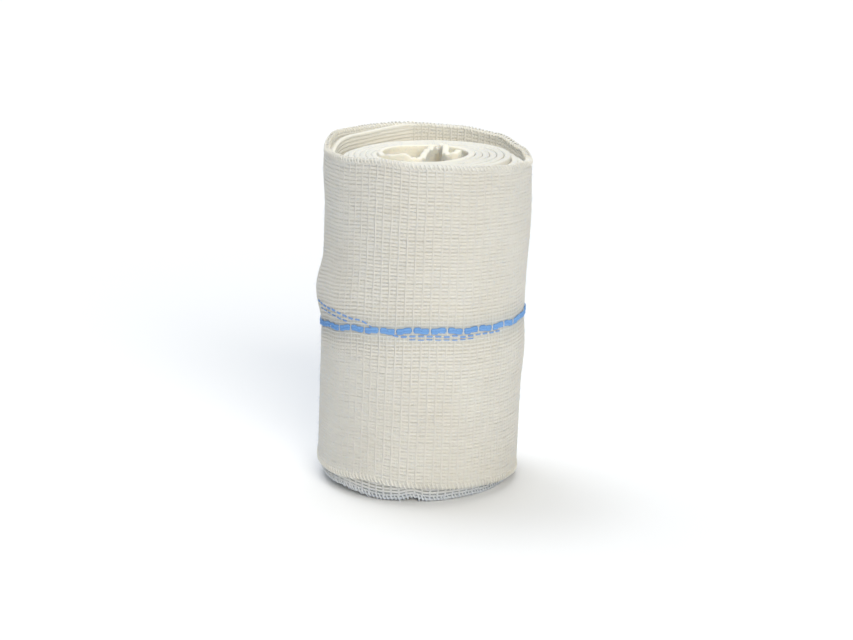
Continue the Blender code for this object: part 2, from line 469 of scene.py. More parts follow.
def lobe(distance, reach):
    """A soft hump: 1 at its middle, 0 from its reach on."""
    return np.cos(np.pi / 2 * np.clip(np.abs(distance) / reach, 0, 1)) ** 2


def azimuth_of(turn):
    return SPIRAL_START + WINDING * FULL_TURN * turn


def spiral(turn):
    azimuth = azimuth_of(turn)
    inwards = 1 - turn / TURNS
    radius = EYE_RADIUS + PITCH * turn + EYE_OVAL * inwards * np.cos(2 * (azimuth - EYE_AXIS))
    return radius * np.cos(azimuth) + EYE_SHIFT * inwards, radius * np.sin(azimuth)


def folded_end(turn):
    """The zigzag across the eye, as a smooth curve through its points, from 0 back to -1."""
    start = np.array([spiral(FOLD_LEAD), spiral(0.0)])
    towards, across = np.array(END_FOLD).T
    reach = EYE_RADIUS * np.hypot(towards, across)
    azimuth = SPIRAL_START + np.arctan2(across, towards)
    knots = np.stack([EYE_SHIFT + reach * np.cos(azimuth), reach * np.sin(azimuth)], -1)
    last = 2 * knots[-1] - knots[-2]
    knots = np.concatenate([start, knots, [last]])
    place = np.clip(-turn, 0, 1) * (len(knots) - 3)
    knot = np.minimum(place.astype(int), len(knots) - 4)
    share = (place - knot)[..., None]
    before, here, there, beyond = (knots[knot + step] for step in range(4))
    bend = 2 * before - 5 * here + 4 * there - beyond
    twist = 3 * here - before - 3 * there + beyond
    point = here + share * ((there - before) + share * (bend + share * twist)) / 2
    return point[..., 0], point[..., 1]


def midline(turn):
    """Middle of the wall: the spiral for turn >= 0, and for turn < 0 the folded inner end."""
    turn = np.asarray(turn, float)
    spiral_x, spiral_y = spiral(turn)
    folded_x, folded_y = folded_end(turn)
    return np.where(turn >= 0, spiral_x, folded_x), np.where(turn >= 0, spiral_y, folded_y)


def outward(turn):
    """Unit normal of the wall, on the side that faces out of the roll."""
    step = 0.002
    x_before, y_before = midline(turn - step)
    x_after, y_after = midline(turn + step)
    along_x = x_after - x_before
    along_y = y_after - y_before
    length = np.hypot(along_x, along_y)
    return WINDING * along_y / length, -WINDING * along_x / length


def lower_edge(turn):
    """Height of the lower edge of the web above the floor."""
    course = round_the_roll(EDGE_COURSE, azimuth_of(turn))
    slid = OUTER_RISE * course * between(RISE_FADE, TURNS - turn)
    drawn = CORE_RISE * (1 - smooth_step(turn / CORE_RISE_TURNS))
    return slid + drawn


def bulge(turn, height):
    """How far the wall stands out of the spiral at a height above the floor."""
    share = np.clip((BULGE_TURNS - TURNS + turn) / (BULGE_TURNS - 1), 0, 1)
    azimuth = azimuth_of(turn) / DEGREE
    total = 0.0
    for centre, half_span, level, half_height, depth in BULGES:
        turned = (azimuth - centre + 180) % 360 - 180
        total = total + depth * lobe(turned, half_span) * lobe(height / WEB_WIDTH - level, half_height)
    return BULGE_DEPTH * share * total


def wall(turn, height, offset):
    """Points at a height and at an offset out of the middle of the wall."""
    turn, height, offset = np.broadcast_arrays(turn, height, offset)
    x, y = midline(turn)
    normal_x, normal_y = outward(turn)
    out = offset + bulge(turn, height)
    lean = LEAN * (height / WEB_WIDTH - 0.5)
    return np.stack([x + normal_x * out + lean + AXIS_X, y + normal_y * out + AXIS_Y, height], -1)


def local_pitch(turn):
    """Room that one turn has between its neighbours."""
    azimuth = azimuth_of(turn)
    drawn_in = (EYE_OVAL * np.cos(2 * (azimuth - EYE_AXIS)) + EYE_SHIFT * np.cos(azimuth)) / TURNS
    return PITCH - np.where(turn >= 0, drawn_in, 0.0)


def wall_half(turn):
    """Half the thickness of the soft wall: it nearly fills its room, and thins at both ends."""
    full = np.minimum(WALL_THICKNESS, local_pitch(turn) - LEAST_CREVICE) / 2
    outer_end = smooth_step((TURNS - turn) * OUTER_LENGTH / OUTER_END_REACH)
    inner_end = smooth_step((turn + 1) / INNER_END_TURNS)
    return full * (THIN_END_SHARE + (1 - THIN_END_SHARE) * np.minimum(outer_end, inner_end))


def fold_height(turn):
    """The inner turns are pressed flat on top, and the outer one is round."""
    rounded = smooth_step(turn - TURNS + ROUND_FOLD_TURNS)
    return INNER_FOLD_HEIGHT + (FOLD_HEIGHT - INNER_FOLD_HEIGHT) * rounded


def wave_sum(turn, rows):
    return sum(strength * np.sin(rate * turn + phase) for rate, phase, strength in rows)


def head_ripple(turn):
    """Ups and downs of the upper fold: small on the outer turns, crumpled at the inner end."""
    small = HEAD_RIPPLE * wave_sum(turn, HEAD_WAVES)
    crumple = CORE_CRUMPLE * wave_sum(turn, CRUMPLE_WAVES)
    at_core = 1 - smooth_step(turn / CORE_CRUMPLE_TURNS)
    return small + crumple * at_core


def foot_ripple(turn):
    """The turns beneath the outer one stand unevenly, and lift off the floor at one place."""
    beneath = lobe(TURNS - turn - FOOT_RIPPLE_MIDDLE, FOOT_RIPPLE_TURNS)
    azimuth = (azimuth_of(turn) / DEGREE) % 360
    lifted = lobe(azimuth - LIFT_AZIMUTH, LIFT_SPAN) * LIFT_HEIGHT
    uneven = (0.5 + 0.5 * np.sin(FOOT_RIPPLE_RATE * turn)) * FOOT_RIPPLE
    return beneath * (lifted + uneven)


def web_height(turn, share):
    """Height of a place on the web: the knit's rows follow both folds and the tracer."""
    pushed_up = INNER_LIFT * (1 - smooth_step((turn - TURNS + INNER_LIFT_TURNS) / INNER_LIFT_FADE))
    foot = lower_edge(turn) + foot_ripple(turn) + pushed_up
    settled = 1 - OUTER_CALM * smooth_step(turn - TURNS + OUTER_CALM_TURNS)
    top = lower_edge(turn) + WEB_WIDTH + head_ripple(turn) * settled + pushed_up
    line = WEB_WIDTH * round_the_roll(TRACER_COURSE, azimuth_of(turn))
    near_outside = smooth_step(turn - TURNS + 2)
    line = line * near_outside + (foot + top) / 2 * (1 - near_outside)
    low = foot + (line - foot) * 2 * share
    high = line + (top - line) * (2 * share - 1)
    return np.where(share < 0.5, low, high)


def foot_tuck(turn, height):
    """The lower edges of the inner turns draw in under the roll."""
    beneath = 1 - smooth_step((turn - TURNS + TUCK_LAST_TURNS) / TUCK_FADE)
    low = 1 - smooth_step(height / TUCK_HEIGHT)
    return -TUCK_DEPTH * np.clip(turn / TURNS, 0, 1) * beneath * low * low


def skin(turn, girth, lift):
    """Points on the web's skin, raised by lift along its own normal."""
    turn, girth, lift = np.broadcast_arrays(turn, girth, lift)
    inner = (girth < 0) | (girth > 1)
    side = np.where(inner, -1.0, 1.0)
    share = np.abs(np.where(girth > 1, 2 - girth, girth))
    upper = share > 0.5
    half = wall_half(turn)
    sunk = YARN_SEAT * smooth_step((turn - TURNS + SEAT_TURNS) / SEAT_FADE)
    seat = (wall_half(TURNS - 0.5) - half) * smooth_step(turn - TURNS + 1)
    to_edge = np.where(upper, 1 - share, share) * WEB_WIDTH
    round_part = fold_height(turn)
    bend = np.arccos(np.clip(1 - to_edge / round_part, 0, 1))
    tall = round_part * np.sin(bend)
    deep = half * np.cos(bend)
    size = np.hypot(tall, deep)
    raised = lift - np.where(inner, INNER_YARN_SEAT * (lift > 0), sunk)
    out = side * (half * np.sin(bend) + raised * tall / size) - seat
    height = web_height(turn, share) + (lift - sunk) * deep / size * np.where(upper, 1.0, -1.0)
    height = np.maximum(height, FLOOR_CLEARANCE)
    return wall(turn, height, out + foot_tuck(turn, height))


def strip_length(turn):
    """Length along the strip from its inner end to a place on it."""
    stations = np.linspace(-1, TURNS + STRIP_TAIL_TURNS, STRIP_STEPS)
    x, y = midline(stations)
    steps = np.hypot(np.diff(x), np.diff(y))
    return np.interp(turn, stations, np.concatenate([[0], np.cumsum(steps)]))


def web_place(turn, girth):
    """What the finishes read at each point: length along the web, height up it, and shade.

    Shade is 1 at the shaded foot, and negative where light soaks through the gauze: a little on
    the inner turns and inside the rim, and most in the eye.
    """
    turn, girth = np.broadcast_arrays(turn, girth)
    share = np.abs(np.where(girth > 1, 2 - girth, girth))
    beneath = 1 - smooth_step((turn - TURNS + SHADE_LAST_TURNS) / SHADE_FADE)
    height = web_height(turn, share)
    low = 1 - smooth_step(height / SHADE_HEIGHT)
    shade = beneath * low * smooth_step(turn - TURNS + SHADE_FIRST_TURNS)
    inner = np.where(girth > 1, 1.0, 1 - smooth_step(turn - TURNS + GLOW_LAST_TURNS))
    base_glow = np.where(girth > 1, RIM_GLOW, DISC_GLOW)
    glow = inner * (base_glow + EYE_GLOW * (1 - smooth_step(turn / EYE_GLOW_TURNS)))
    shade = np.where(share > 0.5, -glow, shade)
    return np.stack([strip_length(turn), share * WEB_WIDTH, shade], -1)


# Mesh pieces

def grid_faces(rows, columns, close_columns, first=0):
    """Quads of a grid of points, whose last column may meet its first."""
    row = np.arange(rows - 1)[:, None]
    column = np.arange(columns if close_columns else columns - 1)[None, :]
    beside = (column + 1) % columns
    corners = (row * columns + column, row * columns + beside)
    above = (corners[1] + columns, corners[0] + columns)
    return first + np.stack([*corners, *above], -1).reshape(-1, 4)


def make_piece(name, points, quads, material, caps, places):
    """A smooth mesh object that rides on the roll, with the places that its finish reads."""
    mesh = bpy.data.meshes.new(name)
    faces = quads.tolist() + [list(cap) for cap in caps]
    mesh.from_pydata(points.reshape(-1, 3), [], faces)
    mesh.polygons.foreach_set("use_smooth", np.ones(len(mesh.polygons), bool))
    held = mesh.attributes.new("web_place", "FLOAT_VECTOR", "POINT")
    held.data.foreach_set("vector", places.reshape(-1).astype(np.float32))
    mesh.materials.append(material)
    mesh.update()
    piece = bpy.data.objects.new(name, mesh)
    bpy.context.scene.collection.objects.link(piece)
    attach(piece, "root")
    return piece


def make_tubes(name, middle, out, across, half_depth, half_width, sides, material, places):
    """Yarns as one mesh: middle is an array of yarns, of points, of x, y and z."""
    yarns, points = middle.shape[:2]
    angle = FULL_TURN * (np.arange(sides) + 0.5) / sides
    depth = np.broadcast_to(half_depth, (yarns, points))[..., None, None] * np.sin(angle)[:, None]
    width = np.broadcast_to(half_width, (yarns, points))[..., None, None] * np.cos(angle)[:, None]
    rings = middle[:, :, None, :] + depth * out[:, :, None, :] + width * across[:, :, None, :]
    held = np.broadcast_to(places[:, :, None, :], rings.shape)
    each = points * sides
    faces = np.concatenate([grid_faces(points, sides, True, yarn * each) for yarn in range(yarns)])
    caps = []
    for yarn in range(yarns):
        start = yarn * each
        caps.append(range(start + sides - 1, start - 1, -1))
        caps.append(range(start + each - sides, start + each))
    return make_piece(name, rings, faces, material, caps, held)


# Shader groups

def new_group(name, inputs, outputs):
    """A shader group: inputs are (name, kind, default), outputs are (name, kind)."""
    group = bpy.data.node_groups.new(name, "ShaderNodeTree")
    for label, kind, value in inputs:
        socket = group.interface.new_socket(label, in_out="INPUT", socket_type=kind)
        socket.default_value = value
    for label, kind in outputs:
        group.interface.new_socket(label, in_out="OUTPUT", socket_type=kind)
    return group, group.nodes.new("NodeGroupInput"), group.nodes.new("NodeGroupOutput")


def add_math(tree, operation, first, second=None, third=None):
    node = tree.nodes.new("ShaderNodeMath")
    node.operation = operation
    for socket, value in zip(node.inputs, (first, second, third)):
        if value is None:
            continue
        if isinstance(value, bpy.types.NodeSocket):
            tree.links.new(value, socket)
        else:
            socket.default_value = value
    return node.outputs[0]


def clamped(socket):
    socket.node.use_clamp = True
    return socket


def add_noise(tree, place, size, detail):
    """Noise whose features are about size millimetres across; size may be a socket."""
    noise = tree.nodes.new("ShaderNodeTexNoise")
    noise.inputs["Detail"].default_value = detail
    tree.links.new(place, noise.inputs["Vector"])
    tree.links.new(add_math(tree, "DIVIDE", 1000.0, size), noise.inputs["Scale"])
    return noise.outputs["Fac"]


def add_mix(tree, factor, first, second, blend="MIX"):
    mix = tree.nodes.new("ShaderNodeMix")
    mix.data_type = "RGBA"
    mix.blend_type = blend
    for label, value in (("Factor", factor), ("A", first), ("B", second)):
        if isinstance(value, bpy.types.NodeSocket):
            tree.links.new(value, mix.inputs[label])
        else:
            mix.inputs[label].default_value = value
    return mix.outputs["Result"]


def cotton_tone_group():
    """Cotton whose tone drifts in soft clouds and in fine flecks."""
    group, given, made = new_group(
        "cotton_tone",
        (
            ("Light", "NodeSocketColor", (1, 1, 1, 1)),
            ("Deep", "NodeSocketColor", (1, 1, 1, 1)),
            ("Cloud Size", "NodeSocketFloat", CLOUD_SIZE),
            ("Fleck Size", "NodeSocketFloat", FLECK_SIZE),
        ),
        (("Color", "NodeSocketColor"), ("Fibre", "NodeSocketFloat")),
    )
    place = group.nodes.new("ShaderNodeTexCoord").outputs["Object"]
    clouds = add_noise(group, place, given.outputs["Cloud Size"], NOISE_DETAIL)
    flecks = add_noise(group, place, given.outputs["Fleck Size"], NOISE_DETAIL)
    cloud_part = add_math(group, "MULTIPLY_ADD", clouds, CLOUD_CONTRAST, CLOUD_OFFSET)
    fleck_part = add_math(group, "MULTIPLY_ADD", flecks, FLECK_CONTRAST, FLECK_OFFSET)
    share = clamped(add_math(group, "ADD", cloud_part, fleck_part))
    tone = add_mix(group, share, given.outputs["Light"], given.outputs["Deep"])
    group.links.new(tone, made.inputs["Color"])
    group.links.new(flecks, made.inputs["Fibre"])
    return group


def web_tint_group():
    """Painted shade at the folds, in the open knit beside the tracer and in the shaded foot, and
    painted glow in the eye.
    """
    group, given, made = new_group(
        "web_tint",
        (
            ("Color", "NodeSocketColor", (1, 1, 1, 1)),
            ("Fold Shade Tint", "NodeSocketColor", (*FOLD_SHADE_TINT, 1)),
            ("Open Knit Shade Tint", "NodeSocketColor", (*OPEN_KNIT_SHADE_TINT, 1)),
            ("Shade Tint", "NodeSocketColor", (*YARN_SHADE_TINT, 1)),
            ("Painted Glow Tone", "NodeSocketColor", (*PAINTED_GLOW_TONE, 1)),
        ),
        (("Color", "NodeSocketColor"),),
    )
    place = group.nodes.new("ShaderNodeAttribute")
    place.attribute_name = "web_place"
    parts = group.nodes.new("ShaderNodeSeparateXYZ")
    group.links.new(place.outputs["Vector"], parts.inputs[0])
    off_middle = add_math(group, "SUBTRACT", parts.outputs["Y"], WEB_WIDTH / 2)
    off_middle = add_math(group, "ABSOLUTE", off_middle)
    to_fold = add_math(group, "SUBTRACT", WEB_WIDTH / 2, off_middle)
    # Painted cool shade near both folds
    at_fold = clamped(add_math(group, "MULTIPLY_ADD", to_fold, -1 / FOLD_TINT_REACH, 1.0))
    at_fold = add_math(group, "POWER", at_fold, 2.0)
    # Painted shade in the open knit beside the tracer
    beside_tracer = clamped(add_math(group, "MULTIPLY_ADD", off_middle, -1 / OPEN_TINT_REACH, 1.0))
    colour = add_mix(group, at_fold, given.outputs["Color"], given.outputs["Fold Shade Tint"], "MULTIPLY")
    colour = add_mix(group, beside_tracer, colour, given.outputs["Open Knit Shade Tint"], "MULTIPLY")
    shaded = clamped(add_math(group, "MULTIPLY", parts.outputs["Z"], 1.0))
    colour = add_mix(group, shaded, colour, given.outputs["Shade Tint"], "MULTIPLY")
    # Painted glow: where the shade value is negative, the eye, the inner turns and the rim's inner
    # side are lightened
    at_core = clamped(add_math(group, "MULTIPLY", parts.outputs["Z"], -1.0))
    colour = add_mix(group, at_core, colour, given.outputs["Painted Glow Tone"])
    group.links.new(colour, made.inputs["Color"])
    return group


def gauze_weave_group():
    """The knit as relief: rows along the web crossed by ribs, read from the web_place attribute."""
    group, given, made = new_group(
        "gauze_weave",
        (
            ("Row Pitch", "NodeSocketFloat", ROW_PITCH),
            ("Rib Pitch", "NodeSocketFloat", RIB_PITCH),
        ),
        (("Height", "NodeSocketFloat"),),
    )
    place = group.nodes.new("ShaderNodeAttribute")
    place.attribute_name = "web_place"
    parts = group.nodes.new("ShaderNodeSeparateXYZ")
    group.links.new(place.outputs["Vector"], parts.inputs[0])
    humps = []
    for along, pitch in (("Y", "Row Pitch"), ("X", "Rib Pitch")):
        steps = add_math(group, "DIVIDE", parts.outputs[along], given.outputs[pitch])
        wave = add_math(group, "SINE", add_math(group, "MULTIPLY", steps, math.pi))
        humps.append(add_math(group, "ABSOLUTE", wave))
    ribs = add_math(group, "POWER", humps[1], RIB_SHARPNESS)
    group.links.new(add_math(group, "MAXIMUM", humps[0], ribs), made.inputs["Height"])
    return group


def cotton_material(name, light, deep, tone_group, tint_group=None, soak=COTTON_SOAK):
    """Cotton: a cream or dyed tone, fine fibre relief, and light that soaks in a little."""
    material = bpy.data.materials.new(name)
    material.use_nodes = True
    tree = material.node_tree
    shader = tree.nodes["Principled BSDF"]
    shader.inputs["Roughness"].default_value = ROUGHNESS
    shader.inputs["Specular IOR Level"].default_value = SPECULAR
    shader.inputs["Sheen Weight"].default_value = SHEEN
    shader.inputs["Sheen Roughness"].default_value = SHEEN_ROUGHNESS
    shader.inputs["Sheen Tint"].default_value = (*SHEEN_TINT, 1.0)
    shader.inputs["Subsurface Weight"].default_value = soak
    shader.inputs["Subsurface Radius"].default_value = SOAK_RADIUS
    shader.inputs["Subsurface Scale"].default_value = SOAK_SCALE
    tone = tree.nodes.new("ShaderNodeGroup")
    tone.node_tree = tone_group
    tone.inputs["Light"].default_value = (*light, 1.0)
    tone.inputs["Deep"].default_value = (*deep, 1.0)
    colour = tone.outputs["Color"]
    if tint_group is not None:
        tint = tree.nodes.new("ShaderNodeGroup")
        tint.name = "Tint"
        tint.node_tree = tint_group
        tree.links.new(colour, tint.inputs["Color"])
        colour = tint.outputs["Color"]
    tree.links.new(colour, shader.inputs["Base Color"])
    bump = tree.nodes.new("ShaderNodeBump")
    bump.inputs["Strength"].default_value = FIBRE_RELIEF
    bump.inputs["Distance"].default_value = FIBRE_RELIEF_DEPTH
    tree.links.new(tone.outputs["Fibre"], bump.inputs["Height"])
    tree.links.new(bump.outputs["Normal"], shader.inputs["Normal"])
    return material


def woven_ground_material(tone_group, tint_group, weave_group):
    """The ply behind the yarns, and the inner turns, with the knit as low relief."""
    material = cotton_material("gauze_ground", GROUND_LIGHT, GROUND_DEEP, tone_group, tint_group)
    tree = material.node_tree
    tree.nodes["Tint"].inputs["Shade Tint"].default_value = (*GROUND_SHADE_TINT, 1.0)
    fine = tree.nodes["Bump"]
    weave = tree.nodes.new("ShaderNodeGroup")
    weave.node_tree = weave_group
    relief = tree.nodes.new("ShaderNodeBump")
    relief.inputs["Strength"].default_value = WEAVE_RELIEF
    relief.inputs["Distance"].default_value = WEAVE_RELIEF_DEPTH
    tree.links.new(weave.outputs["Height"], relief.inputs["Height"])
    tree.links.new(relief.outputs["Normal"], fine.inputs["Normal"])
    return material


# Web

def ring_girths():
    """Girths of the points round the web, closer together at the folds."""
    bend = np.linspace(0, math.pi / 2, FOLD_RINGS)
    near_fold = FOLD_HEIGHT * (1 - np.cos(bend)) / WEB_WIDTH
    middle = np.linspace(near_fold[-1], 1 - near_fold[-1], SIDE_RINGS)[1:-1]
    outer = np.concatenate([near_fold, middle, (1 - near_fold)[::-1]])
    inner = (2 - outer[::-1])[1:-1]
    return np.concatenate([outer, inner])


def web_stations():
    fold = np.linspace(-1, 0, FOLD_STATIONS, endpoint=False)
    spiral_part = np.linspace(0, TURNS, SPIRAL_STATIONS)
    return np.concatenate([fold, spiral_part])


def make_web_wall(material):
    """The whole strip as one soft wall, from its zigzag end in the eye to the free end."""
    turn = web_stations()[:, None]
    girth = ring_girths()[None, :]
    points = skin(turn, girth, 0.0)
    places = web_place(turn, girth)
    rows, columns = points.shape[:2]
    quads = grid_faces(rows, columns, True)
    caps = (range(columns), range(rows * columns - 1, (rows - 1) * columns - 1, -1))
    piece = make_piece("gauze_wall", points, quads, material, caps, places)
    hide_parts("gauze_web")
    return piece


# Yarns

def row_girths():
    """Girths of the rows above and below the tracer: they open up beside it."""
    order = np.arange(ROWS_PER_HALF)
    upper_steps = 1 + UPPER_SPREAD * np.exp(-((order / UPPER_SPREAD_ROWS) ** 2))
    upper_steps[0] += TRACER_ROOM
    lower_steps = 1 + LOWER_SPREAD * np.exp(-((order / LOWER_SPREAD_ROWS) ** 2))
    lower_steps[0] += TRACER_ROOM
    above = np.cumsum(upper_steps)
    below = np.cumsum(lower_steps)
    past_bottom = np.arange(1, ROWS_PAST_BOTTOM + 1)
    upper = 0.5 + 0.5 * above / (above[-1] + 0.5)
    lower = 0.5 - 0.5 * np.concatenate([below, below[-1] + past_bottom]) / (below[-1] + 0.5)
    return upper, lower


def openness(girth):
    """1 beside the tracer, where the knit is open, falling to 0 a few rows away."""
    off_line = (girth - 0.5) * WEB_WIDTH
    reach = np.where(off_line > 0, OPEN_ABOVE, OPEN_BELOW)
    return np.exp(-((off_line / reach) ** 2))


def drift(count, samples, waves, size):
    """Slow seeded wander, one line for each yarn."""
    along = np.linspace(0, FULL_TURN, samples)[None, :]
    total = np.zeros((count, samples))
    for wave in waves:
        phase = CHANCE.uniform(0, FULL_TURN, (count, 1))
        strength = CHANCE.normal(0, 1, (count, 1))
        total += strength * np.sin(wave * along + phase)
    return size * total / math.sqrt(len(waves))


def skin_frame(turn, girth, lift):
    """Points with the skin's normal there, and the direction up the girth."""
    middle = skin(turn, girth, lift)
    out = skin(turn, girth, lift + NORMAL_PROBE) - middle
    up = skin(turn, girth + GIRTH_PROBE, lift) - middle
    out /= np.linalg.norm(out, axis=-1, keepdims=True)
    up /= np.linalg.norm(up, axis=-1, keepdims=True)
    return middle, out, up


def make_rows(name, girths, first_turn, last_turn, full_half_width, material):
    """Lengthwise yarns, over one rib and under the next, with loose ends at the cut.

    Past the cut, the ends are measured in millimetres.
    """
    count = len(girths)
    samples = round((last_turn - first_turn) * RIBS * SAMPLES_PER_RIB)
    turn = np.linspace(first_turn, last_turn, samples)
    turn = np.broadcast_to(turn, (count, samples)).copy()
    if last_turn == TURNS:
        fray = CHANCE.uniform(*FRAY_LENGTHS, (count, 1)) / OUTER_LENGTH
        tail = np.linspace(0, 1, FRAY_POINTS + 1)[1:]
        turn = np.concatenate([turn, TURNS + fray * tail], 1)
    samples = turn.shape[1]
    along = (turn - TURNS + 1) * RIBS
    phase = np.pi * (along + np.round(girths[:, None] * PHASE_STEPS))
    girth = girths[:, None] + drift(count, samples, ROW_WANDER_WAVES, ROW_WANDER / WEB_WIDTH)
    past_cut = np.clip((turn - TURNS) * OUTER_LENGTH / MM, 0, None)
    swerve = CHANCE.normal(0, FRAY_SWERVE, (count, 1)) * past_cut**FRAY_CURVE * MM
    girth = girth + swerve / WEB_WIDTH
    lift = ROW_LIFT + ROW_WEAVE * np.cos(phase)
    lift = lift + CHANCE.uniform(*FRAY_LIFTS, (count, 1)) * past_cut * MM
    middle, out, up = skin_frame(turn, girth, lift)
    open_here = openness(girths)[:, None]
    plump = 1 + drift(count, samples, ROW_PLUMP_WAVES, ROW_PLUMP)
    thin_end = 1 - FRAY_TAPER * np.clip(past_cut / FRAY_TAPER_REACH, 0, 1)
    half_width = full_half_width + (OPEN_ROW_HALF_WIDTH - full_half_width) * open_here
    half_width = half_width * plump * thin_end
    half_depth = ROW_HALF_DEPTH * (1 - OPEN_ROW_FLATTENING * open_here) * thin_end
    places = web_place(turn, girth)
    piece = make_tubes(name, middle, out, up, half_depth, half_width, YARN_SIDES, material, places)
    return piece


def make_ribs(name, first_rib, count, girths, half_width, open_half_width, over_tracer, material):
    """Crosswise chains of loops that bind the rows. Ribs count from the start of the outer turn."""
    samples = len(girths)
    girth = np.broadcast_to(girths, (count, samples))
    turn = TURNS - 1 + (np.arange(count)[:, None] + first_rib) / RIBS
    turn = turn + drift(count, samples, RIB_WANDER_WAVES, RIB_WANDER / OUTER_LENGTH)
    beads = np.cos(np.pi * np.arange(samples))[None, :]
    open_here = openness(girth)
    lift = RIB_LIFT + BEAD_LIFT * beads
    at_tracer = lobe((girth - 0.5) * WEB_WIDTH, TRACER_CROSSING)
    lift = lift + at_tracer * over_tracer
    middle, out, up = skin_frame(turn, girth, lift)
    across = np.cross(up, out)
    width = half_width + (open_half_width - half_width) * open_here
    width = width * (1 + BEAD_WIDENING * beads)
    places = web_place(turn, girth)
    piece = make_tubes(name, middle, out, across, RIB_HALF_DEPTH, width, RIB_SIDES, material, places)
    return piece


def make_fold_stitches(name, first_girth, last_girth, first_turn, last_turn, material):
    """Slanted loops that wrap a fold, two for each rib."""
    samples = 9
    count = round((last_turn - first_turn) * RIBS * 2)
    share = np.linspace(0, 1, samples)[None, :]
    stray = CHANCE.uniform(-STITCH_STRAY, STITCH_STRAY, (count, 1))
    start = first_turn + (np.arange(count)[:, None] + stray) / (2 * RIBS)
    turn = np.minimum(start + STITCH_SLANT * share / RIBS, TURNS)
    reach = CHANCE.uniform(*STITCH_REACHES, (count, 1))
    girth = first_girth + (last_girth - first_girth) * share * reach
    lift = STITCH_LIFT + STITCH_ARCH * np.sin(np.pi * share)
    middle, out, up = skin_frame(turn, girth, lift)
    across = np.cross(up, out)
    thick = STITCH_END_SHARE + (1 - STITCH_END_SHARE) * np.sin(np.pi * share)
    half_depth = STITCH_HALF_DEPTH * thick
    half_width = STITCH_HALF_WIDTH * thick
    places = web_place(turn, girth)
    piece = make_tubes(name, middle, out, across, half_depth, half_width, YARN_SIDES, material, places)
    return piece


def make_tracer_strands(material):
    """The tracer: floats of two blue strands over two ribs, which dip under every second rib."""
    samples = RIBS * TRACER_POINTS_PER_RIB
    share = np.linspace(0, 1, samples)
    turn = TURNS - 1 + (TRACER_START + share * (OUTER_LENGTH - TRACER_SHORTFALL)) / OUTER_LENGTH
    cycle = (turn - TURNS + 1) * RIBS / 2
    within = cycle % 1
    float_number = np.floor(cycle)
    slant = np.where(float_number % 2 == 0, 1.0, -1.0)
    risen = smooth_step((within - DIP_SHARE) / DIP_EASE)
    not_sunk = smooth_step((1 - DIP_SHARE - within) / DIP_EASE)
    shown = risen * not_sunk
    strand = np.array([[1.0], [-1.0]])
    step = np.tanh((within - 0.5) * STEP_SHARPNESS)
    notch = np.exp(-(((within - 0.5) / NOTCH_SHARE) ** 2)) * (0.5 + 0.5 * strand * slant)
    spread = DIP_SPREAD + (1 - DIP_SPREAD) * shown
    offset = (STRAND_SPREAD * strand + STRAND_STEP * slant * step) * spread
    girth = 0.5 + offset / WEB_WIDTH
    twist = STRAND_TWIST * np.cos(2 * FULL_TURN * within + strand)
    lift = STRAND_LIFT + STRAND_RISE * shown + twist
    turn = np.broadcast_to(turn, girth.shape)
    middle, out, up = skin_frame(turn, girth, lift)
    fullness = (DIP_FULLNESS + (1 - DIP_FULLNESS) * shown) * (1 - NOTCH_DEPTH * notch)
    depth = STRAND_HALF_DEPTH * fullness
    width = STRAND_HALF_WIDTH * fullness
    places = web_place(turn, girth)
    piece = make_tubes(
        "tracer_strands", middle, out, up, depth, width, TRACER_SIDES, material, places
    )
    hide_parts("tracer_yarn")
    return piece


def make_under_tracer(name, first_azimuth, last_azimuth, raised, half_width, material):
    """Blue floats of the turn beneath, showing through the open knit beside the tracer."""
    samples = 8
    end_azimuth = FREE_END / DEGREE + 360
    first_rib = round((end_azimuth - last_azimuth) / 360 * RIBS)
    count = round((last_azimuth - first_azimuth) / 360 * RIBS)
    start = TURNS - 1 + (first_rib + np.arange(count)[:, None] + UNDER_START) / RIBS
    share = np.linspace(0, 1, samples)[None, :]
    turn = start + UNDER_LENGTH * share / RIBS
    above = round_the_roll(UNDER_COURSE, azimuth_of(turn)) * MM + raised
    girth = 0.5 + (above + CHANCE.normal(0, UNDER_WANDER, (count, 1))) / WEB_WIDTH
    hump = smooth_step(share / UNDER_EASE) * smooth_step((1 - share) / UNDER_EASE)
    middle, out, up = skin_frame(turn, girth, UNDER_LIFT + UNDER_RISE * hump)
    fullness = UNDER_END_FULLNESS + (1 - UNDER_END_FULLNESS) * hump
    depth = UNDER_HALF_DEPTH * fullness
    width = half_width * fullness * CHANCE.uniform(*UNDER_WIDTH_SHARES, (count, 1))
    places = web_place(turn, girth)
    piece = make_tubes(name, middle, out, up, depth, width, YARN_SIDES, material, places)
    return piece


def make_fuzz(name, count, first_turn, last_turn, first_girth, last_girth, material):
    """Fine loose fibres that stand off the web."""
    samples = 4
    turn = CHANCE.uniform(first_turn, last_turn, (count, 1))
    girth = CHANCE.uniform(first_girth, last_girth, (count, 1))
    root, out, up = skin_frame(turn, girth, FIBRE_LIFT)
    along = np.cross(up, out)
    heading = CHANCE.uniform(0, FULL_TURN, (count, 1, 1))
    flat = up * np.cos(heading) + along * np.sin(heading)
    rise = CHANCE.uniform(*FIBRE_RISES, (count, 1, 1))
    length = CHANCE.uniform(*FIBRE_LENGTHS, (count, 1, 1))
    share = np.linspace(0, 1, samples)[None, :, None]
    curl = CHANCE.uniform(*FIBRE_CURLS, (count, 1, 1))
    loft = (rise * share + curl * share * share) * FIBRE_LOFT
    middle = root + length * (flat * share + out * loft)
    across = np.broadcast_to(np.cross(flat, out), middle.shape)
    out = np.broadcast_to(out, middle.shape)
    thickness = FUZZ_RADIUS * (1 - FIBRE_TAPER * share[..., 0])
    places = np.broadcast_to(web_place(turn, girth), middle.shape)
    piece = make_tubes(name, middle, out, across, thickness, thickness, FIBRE_SIDES, material, places)
    return piece


# Studio

